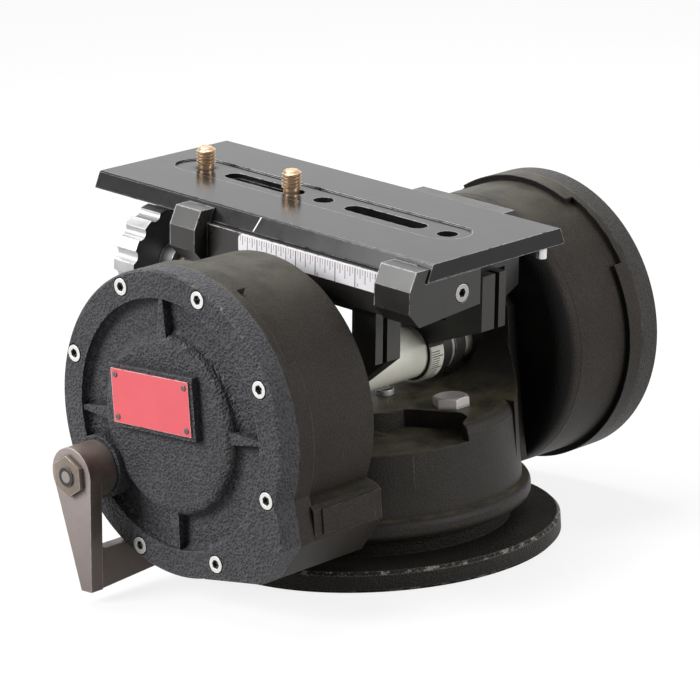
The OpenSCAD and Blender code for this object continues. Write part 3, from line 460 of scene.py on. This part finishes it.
def camera_screw(node, body):
    """A brass 3/8 inch camera screw with its thread cut, in place of its plain CAD form."""
    low, high = span(node)
    plate_top = span("camera_plate")[1].z
    centre = Vector(((low.x + high.x) / 2, (low.y + high.y) / 2, 0))
    head_r = (high.x - low.x) / 2
    head_top = low.z + SCREW_HEAD
    mesh = bmesh.new()
    lathe(mesh, [
        (0, low.z), (head_r - 0.4 * MM, low.z), (head_r, low.z + 0.4 * MM), (head_r, head_top),
        (SCREW_ROOT, head_top), (SCREW_ROOT, high.z - 0.9 * MM), (SCREW_ROOT - 0.8 * MM, high.z - 0.1 * MM),
        (SCREW_ROOT - 1.2 * MM, high.z), (0, high.z),
    ])
    thread(mesh, plate_top + 0.9 * MM, high.z - 0.8 * MM, SCREW_ROOT, SCREW_CREST, SCREW_PITCH)
    made = piece(node + "_threaded", mesh, BRASS, body, PLATFORM @ Matrix.Translation(centre))
    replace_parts(smooth(made), node)


def rule_marks():
    """Black eighth-inch marks on the white rule, red sixteenths between them and red numbers at the inches."""
    first, last, sunk = 5.3 * MM, 2.5 * MM, 0.05 * MM
    low, high = span("rule")
    face, top = low.x, high.z - 0.5 * MM
    ink, red = bmesh.new(), bmesh.new()

    def tick(mesh, y, half, drop):
        block(mesh, (face - PRINT, y - half, top - drop), (face + sunk, y + half, top))

    for k in range(int((high.y - low.y - first - last) / EIGHTH_INCH) + 1):
        y = low.y + first + k * EIGHTH_INCH
        half_inch, quarter = k % 4 == 0, k % 2 == 0
        tick(red, y + EIGHTH_INCH / 2, 0.12 * MM, 2.7 * MM)
        tick(ink, y, (0.24 if half_inch else 0.17) * MM, (9.6 if half_inch else 6.4 if quarter else 4.4) * MM)
        if k % 8 == 4:
            number = numeral(str(7 - k // 8), 2.6 * MM)
            number.transform(Matrix((
                (0, 0, -1, face - 0.02 * MM), (-1, 0, 0, y - 1.5 * MM), (0, 1, 0, high.z - 8.6 * MM), (0, 0, 0, 1))))
            join(red, number)
    piece("rule_ticks", ink, INK, "platform")
    piece("rule_numbers", red, RED_INK, "platform")


def index_mark():
    """The slanted white line on the plate's near side, against which the rule is read."""
    margin, half, sunk = 0.6 * MM, 0.35 * MM, 0.2 * MM
    y_bottom, y_top = 31.3 * MM, 28.8 * MM
    side_slope = 0.4375
    low, high = span("camera_plate")
    inward = side_slope * (high.z - low.z - 2 * margin)
    ends = ((low.x, y_bottom, low.z + margin), (low.x + inward, y_top, high.z - margin))
    mesh = bmesh.new()
    six_sided(mesh, [(x + off, y + side, z) for off in (-PRINT, sunk) for side in (-half, half) for x, y, z in ends])
    piece("plate_index", mesh, RULE, "plate")


def ring_marks():
    """Graduations round the lower half of the ring beside the far leg, every fifth one longer."""
    each_way, step = 22, math.radians(4.5)
    margin, sunk, proud = 0.4 * MM, 0.06 * MM, 0.05 * MM
    low, high = span("tilt_scale_ring")
    radius = max(high.y, -low.y, -low.z)
    ink = bmesh.new()
    for k in range(-each_way, each_way + 1):
        half, share = (0.22 * MM, 0.62) if k % 5 else (0.28 * MM, 0.86)
        start = low.x + margin
        mark = bmesh.new()
        block(mark, (start, -half, radius - sunk), (start + share * (high.x - low.x), half, radius + proud))
        mark.transform(Matrix.Rotation(k * step - math.pi, 4, "X"))
        join(ink, mark)
    piece("tilt_scale_marks", ink, INK, "platform")


def stud_shade_ring():
    """A dark ring round the end of the lever's stud: painted shade in the groove there."""
    inner_share, sunk = 0.62, 0.2 * MM
    low, high = span("lever_stud", Matrix.Identity(4))
    centre = Vector((low.x, (low.y + high.y) / 2, (low.z + high.z) / 2))
    end = [v.co - centre for v in nodes["lever_stud"].data.vertices if v.co.x < low.x + 0.01 * MM]
    outer = max(math.hypot(p.y, p.z) for p in end)
    inner = inner_share * outer
    mesh = bmesh.new()
    lathe(mesh, [(inner, -sunk), (outer, -sunk), (outer, PRINT), (inner, PRINT), (inner, -sunk)])
    bmesh.ops.remove_doubles(mesh, verts=mesh.verts, dist=SAME_POINT)
    placed = Matrix.Translation(centre) @ Matrix.Rotation(-math.pi / 2, 4, "Y")
    smooth(piece("lever_stud_shade_ring", mesh, RUBBER, "lever", placed))


camera_screw("fixed_camera_screw", "fixed_screw")
camera_screw("slot_camera_screw", "slot_screw")
rule_marks()
index_mark()
ring_marks()
stud_shade_ring()


# Studio and camera

FLOOR_HALF = 9.0
FLOOR_DROP = 0.3 * MM
FLOOR_GLOW = 0.84
WORLD_FILL, WORLD_SEEN = 0.08, 0.98
LAMPS = (
    # name, place, aim, size in m, power in W
    ("left_back", (-1.63, 0.74, 1.15), (0, 0, 0.1), (1.1, 1.0), 46.0),
    ("front", (0.55, -1.75, 0.70), (0, 0, 0.08), (0.8, 0.7), 20.0),
    ("top", (0.2, 0.6, 1.8), (0, 0, 0.1), (1.0, 0.9), 26.0),
    ("back", (1.5, 1.4, 0.9), (0, 0, 0.1), (2.0, 1.4), 4.0),
)
AZIMUTH, ELEVATION, ROLL = math.radians(-45.09), math.radians(14.32), math.radians(-3.31)
DISTANCE, LENS, SENSOR = 1.6162, 174.86, 36.0
SHIFT = (-18.42 / 700, 13.21 / 700)


def seen_rays(tree):
    """1 for the rays that show the background: straight, mirrored or through glass."""
    path = tree.nodes.new("ShaderNodeLightPath")
    total = path.outputs["Is Camera Ray"]
    for kind in ("Is Glossy Ray", "Is Transmission Ray"):
        most = tree.nodes.new("ShaderNodeMath")
        most.operation = "MAXIMUM"
        tree.links.new(total, most.inputs[0])
        tree.links.new(path.outputs[kind], most.inputs[1])
        total = most.outputs[0]
    return total


def studio_floor():
    """A floor that shows white and still takes the object's shadow, just below the flange."""
    mesh = bmesh.new()
    bmesh.ops.create_grid(mesh, x_segments=1, y_segments=1, size=FLOOR_HALF)
    bmesh.ops.translate(mesh, verts=mesh.verts, vec=(0, 0, -FLOOR_DROP))
    data = bpy.data.meshes.new("floor")
    mesh.to_mesh(data)
    mesh.free()
    floor = bpy.data.objects.new("floor", data)
    bpy.context.scene.collection.objects.link(floor)
    s = Shader("studio_floor")
    s.set(Base_Color=s.mix(s.ramp(s.noise(3.0), 0.3, 0.7), (0.17, 0.17, 0.17), (0.18, 0.18, 0.18)),
          Roughness=0.9, Specular_IOR_Level=0.0)
    glow = s.add("Emission", {"Color": (1, 1, 1, 1), "Strength": s.times(seen_rays(s.tree), FLOOR_GLOW)})
    both = s.add("AddShader", {0: s.surface.outputs[0], 1: glow.outputs[0]})
    s.put(s.tree.nodes["Material Output"].inputs["Surface"], both.outputs[0])
    data.materials.append(s.material)


def backdrop():
    """A world that shows white and adds only a little light."""
    world = bpy.data.worlds.new("studio")
    bpy.context.scene.world = world
    world.use_nodes = True
    tree = world.node_tree
    background = tree.nodes["Background"]
    background.inputs["Color"].default_value = (1, 1, 1, 1)
    level = tree.nodes.new("ShaderNodeMapRange")
    level.inputs["To Min"].default_value = WORLD_FILL
    level.inputs["To Max"].default_value = WORLD_SEEN
    tree.links.new(seen_rays(tree), level.inputs["Value"])
    tree.links.new(level.outputs["Result"], background.inputs["Strength"])


def lamps():
    for name, place, aim, size, power in LAMPS:
        lamp = bpy.data.lights.new(name, "AREA")
        lamp.shape = "RECTANGLE"
        lamp.size, lamp.size_y = size
        lamp.energy = power
        made = bpy.data.objects.new(name, lamp)
        made.location = place
        made.rotation_mode = "QUATERNION"
        made.rotation_quaternion = (Vector(aim) - Vector(place)).to_track_quat("-Z", "Y")
        bpy.context.scene.collection.objects.link(made)


def camera():
    """The photograph's view, aimed at the middle of the tilt axis."""
    back = Vector((math.sin(AZIMUTH) * math.cos(ELEVATION), -math.cos(AZIMUTH) * math.cos(ELEVATION),
                   math.sin(ELEVATION)))
    right = Vector((math.cos(AZIMUTH), math.sin(AZIMUTH), 0))
    up = back.cross(right)
    across = math.cos(ROLL) * right + math.sin(ROLL) * up
    over = -math.sin(ROLL) * right + math.cos(ROLL) * up
    data = bpy.data.cameras.new("camera")
    data.sensor_width = SENSOR
    data.lens = LENS
    data.shift_x, data.shift_y = SHIFT
    data.clip_start, data.clip_end = 0.1, 50.0
    made = bpy.data.objects.new("camera", data)
    turn = Matrix((across, over, back)).transposed().to_4x4()
    made.matrix_world = Matrix.Translation(Vector((0, 0, AXIS_HEIGHT)) + back * DISTANCE) @ turn
    bpy.context.scene.collection.objects.link(made)
    bpy.context.scene.camera = made


studio_floor()
backdrop()
lamps()
camera()
bpy.context.scene.view_settings.view_transform = "Standard"
